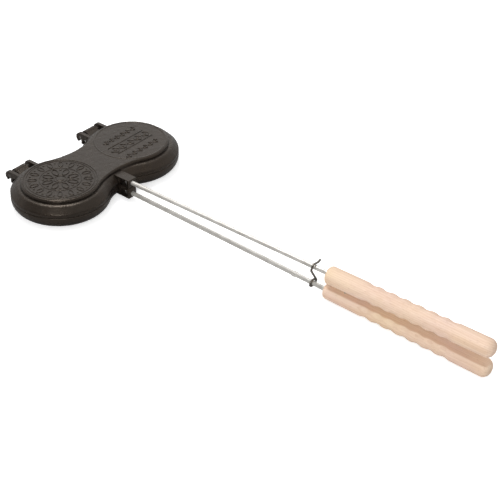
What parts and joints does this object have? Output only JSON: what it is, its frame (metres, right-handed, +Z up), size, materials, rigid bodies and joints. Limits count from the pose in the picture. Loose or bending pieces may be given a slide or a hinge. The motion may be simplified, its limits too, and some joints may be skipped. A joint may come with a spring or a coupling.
{
  "type": "burger iron",
  "caption": "Hinged cast-iron patty iron: round pan lobes joined at a waist, long steel rods, turned wooden grips and a wire latch.",
  "frame": {"origin": "middle of the lower half's flat base", "axes": "+Z up through both halves, +Y toward the hinges, -Y along the rods toward the grips, +X across the lobes"},
  "size_m": [0.2438, 0.6501, 0.0481],
  "materials": {
    "cast_iron": "sand-cast, matte grey-brown",
    "pin_steel": "plain dark steel",
    "rod_steel": "drawn bright steel",
    "beech": "turned, untreated pale wood",
    "wire_steel": "dark drawn wire"
  },
  "bodies": {
    "lower": {"lower_pan": "cast_iron", "left_hinge_pin": "pin_steel", "right_hinge_pin": "pin_steel", "lower_rod": "rod_steel", "lower_rod_nut": "pin_steel", "lower_rod_washer": "pin_steel", "lower_grip": "beech", "lower_grip_pin": "pin_steel"},
    "upper": {"upper_pan": "cast_iron", "upper_rod": "rod_steel", "upper_rod_nut": "pin_steel", "upper_rod_washer": "pin_steel", "upper_grip": "beech", "upper_grip_pin": "pin_steel"},
    "latch": {"latch": "wire_steel"}
  },
  "joints": [
    {"name": "pan_hinge", "type": "hinge", "parent": "lower", "child": "upper", "pos_m": [0, 0.0719, 0.0174], "axis": [-1, 0, 0], "range_deg": [0, 175]},
    {"name": "latch_turn", "type": "hinge", "parent": "lower", "child": "latch", "pos_m": [0, -0.3364, 0.0052], "axis": [0, -0.9999, -0.0145], "range_deg": [0, 180]}
  ]
}
